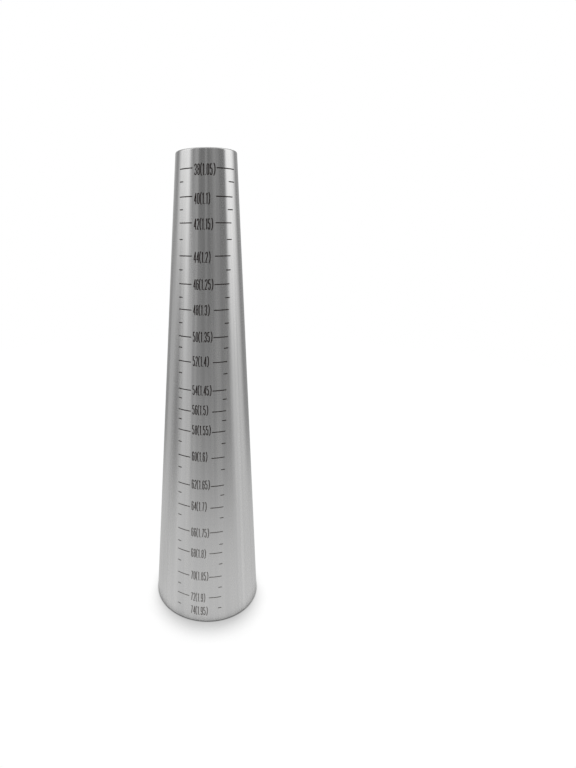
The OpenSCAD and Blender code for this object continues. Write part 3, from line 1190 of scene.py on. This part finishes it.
def floor_material():
    """A glow of one level for the camera and another for the steel, seen from above only."""
    made, g = new_material("white_floor")
    path = g.node("ShaderNodeLightPath").outputs
    place = g.node("ShaderNodeTexCoord").outputs["Object"]
    reach = g.node("ShaderNodeVectorMath", place, operation="LENGTH").outputs["Value"]
    shade = g.math("SUBTRACT", 1.0, open_sky(g, SHADOW_REACH))
    toward = g.node("ShaderNodeVectorMath", g.vector("NORMALIZE", place), SHADOW_SIDE,
                    operation="DOT_PRODUCT").outputs["Value"]
    level = g.mixed(path["Is Camera Ray"], reflected_floor(g, shade, toward, reach),
                    seen_floor(g, shade, toward))
    glow = g.node("ShaderNodeEmission", (1.0, 1.0, 1.0, 1.0), level)
    paint = g.node("ShaderNodeBsdfDiffuse", (0.8, 0.8, 0.8, 1.0))
    seen = g.math("MAXIMUM", path["Is Camera Ray"], path["Is Glossy Ray"])
    surface = g.node("ShaderNodeMixShader", seen, paint.outputs[0], glow.outputs[0])
    clear = g.node("ShaderNodeBsdfTransparent")
    fade = g.math("MULTIPLY", g.between(reach, FLOOR_FADE_START, FLOOR_FADE_END),
                  path["Is Glossy Ray"])
    under = g.node("ShaderNodeNewGeometry").outputs["Backfacing"]
    hidden = g.math("MAXIMUM", fade, under)
    both = g.node("ShaderNodeMixShader", hidden, surface.outputs[0], clear.outputs[0])
    g.node("ShaderNodeOutputMaterial", both.outputs[0])
    return told(made)


# %% Lay the floor
bm = bmesh.new()
bmesh.ops.create_circle(bm, cap_ends=True, radius=FLOOR_RADIUS, segments=96)
floor_mesh = bpy.data.meshes.new("floor")
bm.to_mesh(floor_mesh)
bm.free()
floor_mesh.materials.append(floor_material())
floor = bpy.data.objects.new("floor", floor_mesh)
bpy.context.scene.collection.objects.link(floor)
print(f"floor: {FLOOR_RADIUS:.1f} m radius, its shadow reaches {SHADOW_REACH / MM:.0f} mm")

# %% [markdown]
# ## The room in the steel
#
# Polished steel shows the room, so the room is what gives it its look. The photograph's has
# a tall softbox on either side and a dim space behind the camera, and the pale floor takes
# over low down. Area lamps would light the room's walls as well, and each would need a shape
# of its own to be seen in the steel. The world can hold the room for reflections only: the
# camera sees plain white, and diffuse surfaces get plain even light.
#
# The room is a list of upright strips. Each gives, in degrees round from the camera's side,
# where it begins, where it is full, where it starts to fade and where it ends, and then how
# much it adds to the wall. There is one list for what is level with the top of the mandrel
# and one for what is lower.

# %% The room's strips and levels
HIGH_STRIPS = [(-200, -190, -156, -136, 0.16), (-128, -98, -68, -50, 1.22),
               (-48, -40, -32, -26, 0.32), (-6, -2, 1, 5, 0.20),
               (16, 26, 44, 52, 0.17), (68, 80, 102, 134, 1.38)]
LOW_STRIPS = [(-140, -126, -112, -101, 0.34), (-101, -95, -86, -79, -0.10),
              (-79, -65, -48, -36, 0.47), (-40, -32, -22, -16, 0.12),
              (20, 30, 44, 52, 0.03), (58, 80, 107, 136, 0.44)]
# The walls' own level in front and behind, high and low
HIGH_WALLS = (0.21, 0.45)
LOW_WALLS = (0.24, 0.38)
GROUND_LEVEL = 0.84
CEILING_LEVEL = 0.90
# In degrees: where the second of each two begins to take over from the first, and where it has
FRONT_TO_BACK = (110.0, 150.0)
LOW_TO_HIGH = (-6.0, 12.0)
WALL_TO_GROUND = (-20.0, -38.0)
WALL_TO_CEILING = (45.0, 75.0)
print(len(HIGH_STRIPS), "strips high up and", len(LOW_STRIPS), "low down")


# %% The room
def strip(g, across, begin, full, fading, end, level):
    """What one strip adds to the wall."""
    up = g.between(across, begin, full)
    down = g.between(across, fading, end, 1.0, 0.0)
    return g.math("MULTIPLY", g.math("MULTIPLY", up, down), level)


def walls(g, across, levels, strips):
    """How bright the walls are all the way round."""
    result = g.between(g.math("ABSOLUTE", across), *FRONT_TO_BACK, *levels)
    for each in strips:
        result = g.math("ADD", result, strip(g, across, *each))
    return result


def room(g, across, rise):
    """How bright the room is, by the angle round from the camera's side and by the height."""
    level = g.mixed(g.between(rise, *LOW_TO_HIGH), walls(g, across, LOW_WALLS, LOW_STRIPS),
                    walls(g, across, HIGH_WALLS, HIGH_STRIPS))
    level = g.mixed(g.between(rise, *WALL_TO_GROUND), level, GROUND_LEVEL)
    return g.mixed(g.between(rise, *WALL_TO_CEILING), level, CEILING_LEVEL)


# %% World
EVEN_LEVEL = 0.8

world = bpy.data.worlds.new("studio")
world.use_nodes = True
bpy.context.scene.world = world
g = Graph(world.node_tree)
path = g.node("ShaderNodeLightPath").outputs
way = g.node("ShaderNodeTexCoord").outputs["Generated"]
turned_way = g.node("ShaderNodeVectorRotate", rotation_type="Z_AXIS")
g.put(turned_way.inputs["Vector"], way)
turned_way.inputs["Angle"].default_value = -CAMERA_AZIMUTH
parts = g.node("ShaderNodeSeparateXYZ", turned_way.outputs[0]).outputs
front = g.math("MULTIPLY", parts["Y"], -1.0)
across = g.math("DEGREES", g.math("ARCTAN2", parts["X"], front))
rise = g.math("DEGREES", g.math("ARCSINE", parts["Z"]))
grey = room(g, across, rise)
reflected = g.node("ShaderNodeBackground", (1, 1, 1, 1), grey)
white = g.node("ShaderNodeBackground", (1, 1, 1, 1), 1.0)
even = g.node("ShaderNodeBackground", (1, 1, 1, 1), EVEN_LEVEL)
lit = g.node("ShaderNodeMixShader", path["Is Glossy Ray"], even.outputs[0], reflected.outputs[0])
sky = g.node("ShaderNodeMixShader", path["Is Camera Ray"], lit.outputs[0], white.outputs[0])
g.node("ShaderNodeOutputWorld", sky.outputs[0])
print("the world has", len(world.node_tree.nodes), "nodes")

# %% [markdown]
# ## The lamp
#
# The black film isn't a metal, so it needs light of its own to show its form. The world's
# even light does most of it. One wide lamp overhead adds a soft top side to it, and it is
# kept out of the reflections, where it would show as a disc.

# %% Overhead lamp
LAMP_WIDTH = 0.8
LAMP_HEIGHT = 1.2
LAMP_POWER = 1.5

lamp = bpy.data.lights.new("overhead", "AREA")
lamp.shape = "DISK"
lamp.size = LAMP_WIDTH
lamp.energy = LAMP_POWER
overhead = bpy.data.objects.new("overhead", lamp)
overhead.location = (0, 0, LAMP_HEIGHT)
overhead.visible_glossy = False
bpy.context.scene.collection.objects.link(overhead)
bpy.context.scene.view_settings.view_transform = "Standard"
print(f"lamp: {LAMP_WIDTH} m wide, {LAMP_HEIGHT} m up")

# %% [markdown]
# ## The CAD's box
#
# A finer mesh may wander off the CAD's sizes without anyone seeing it. The last line prints the box
# that the CAD was imported with.

# %% Sizes and the last line
print("CAD box", [round(v / MM, 2) for corner in cad_box for v in corner])
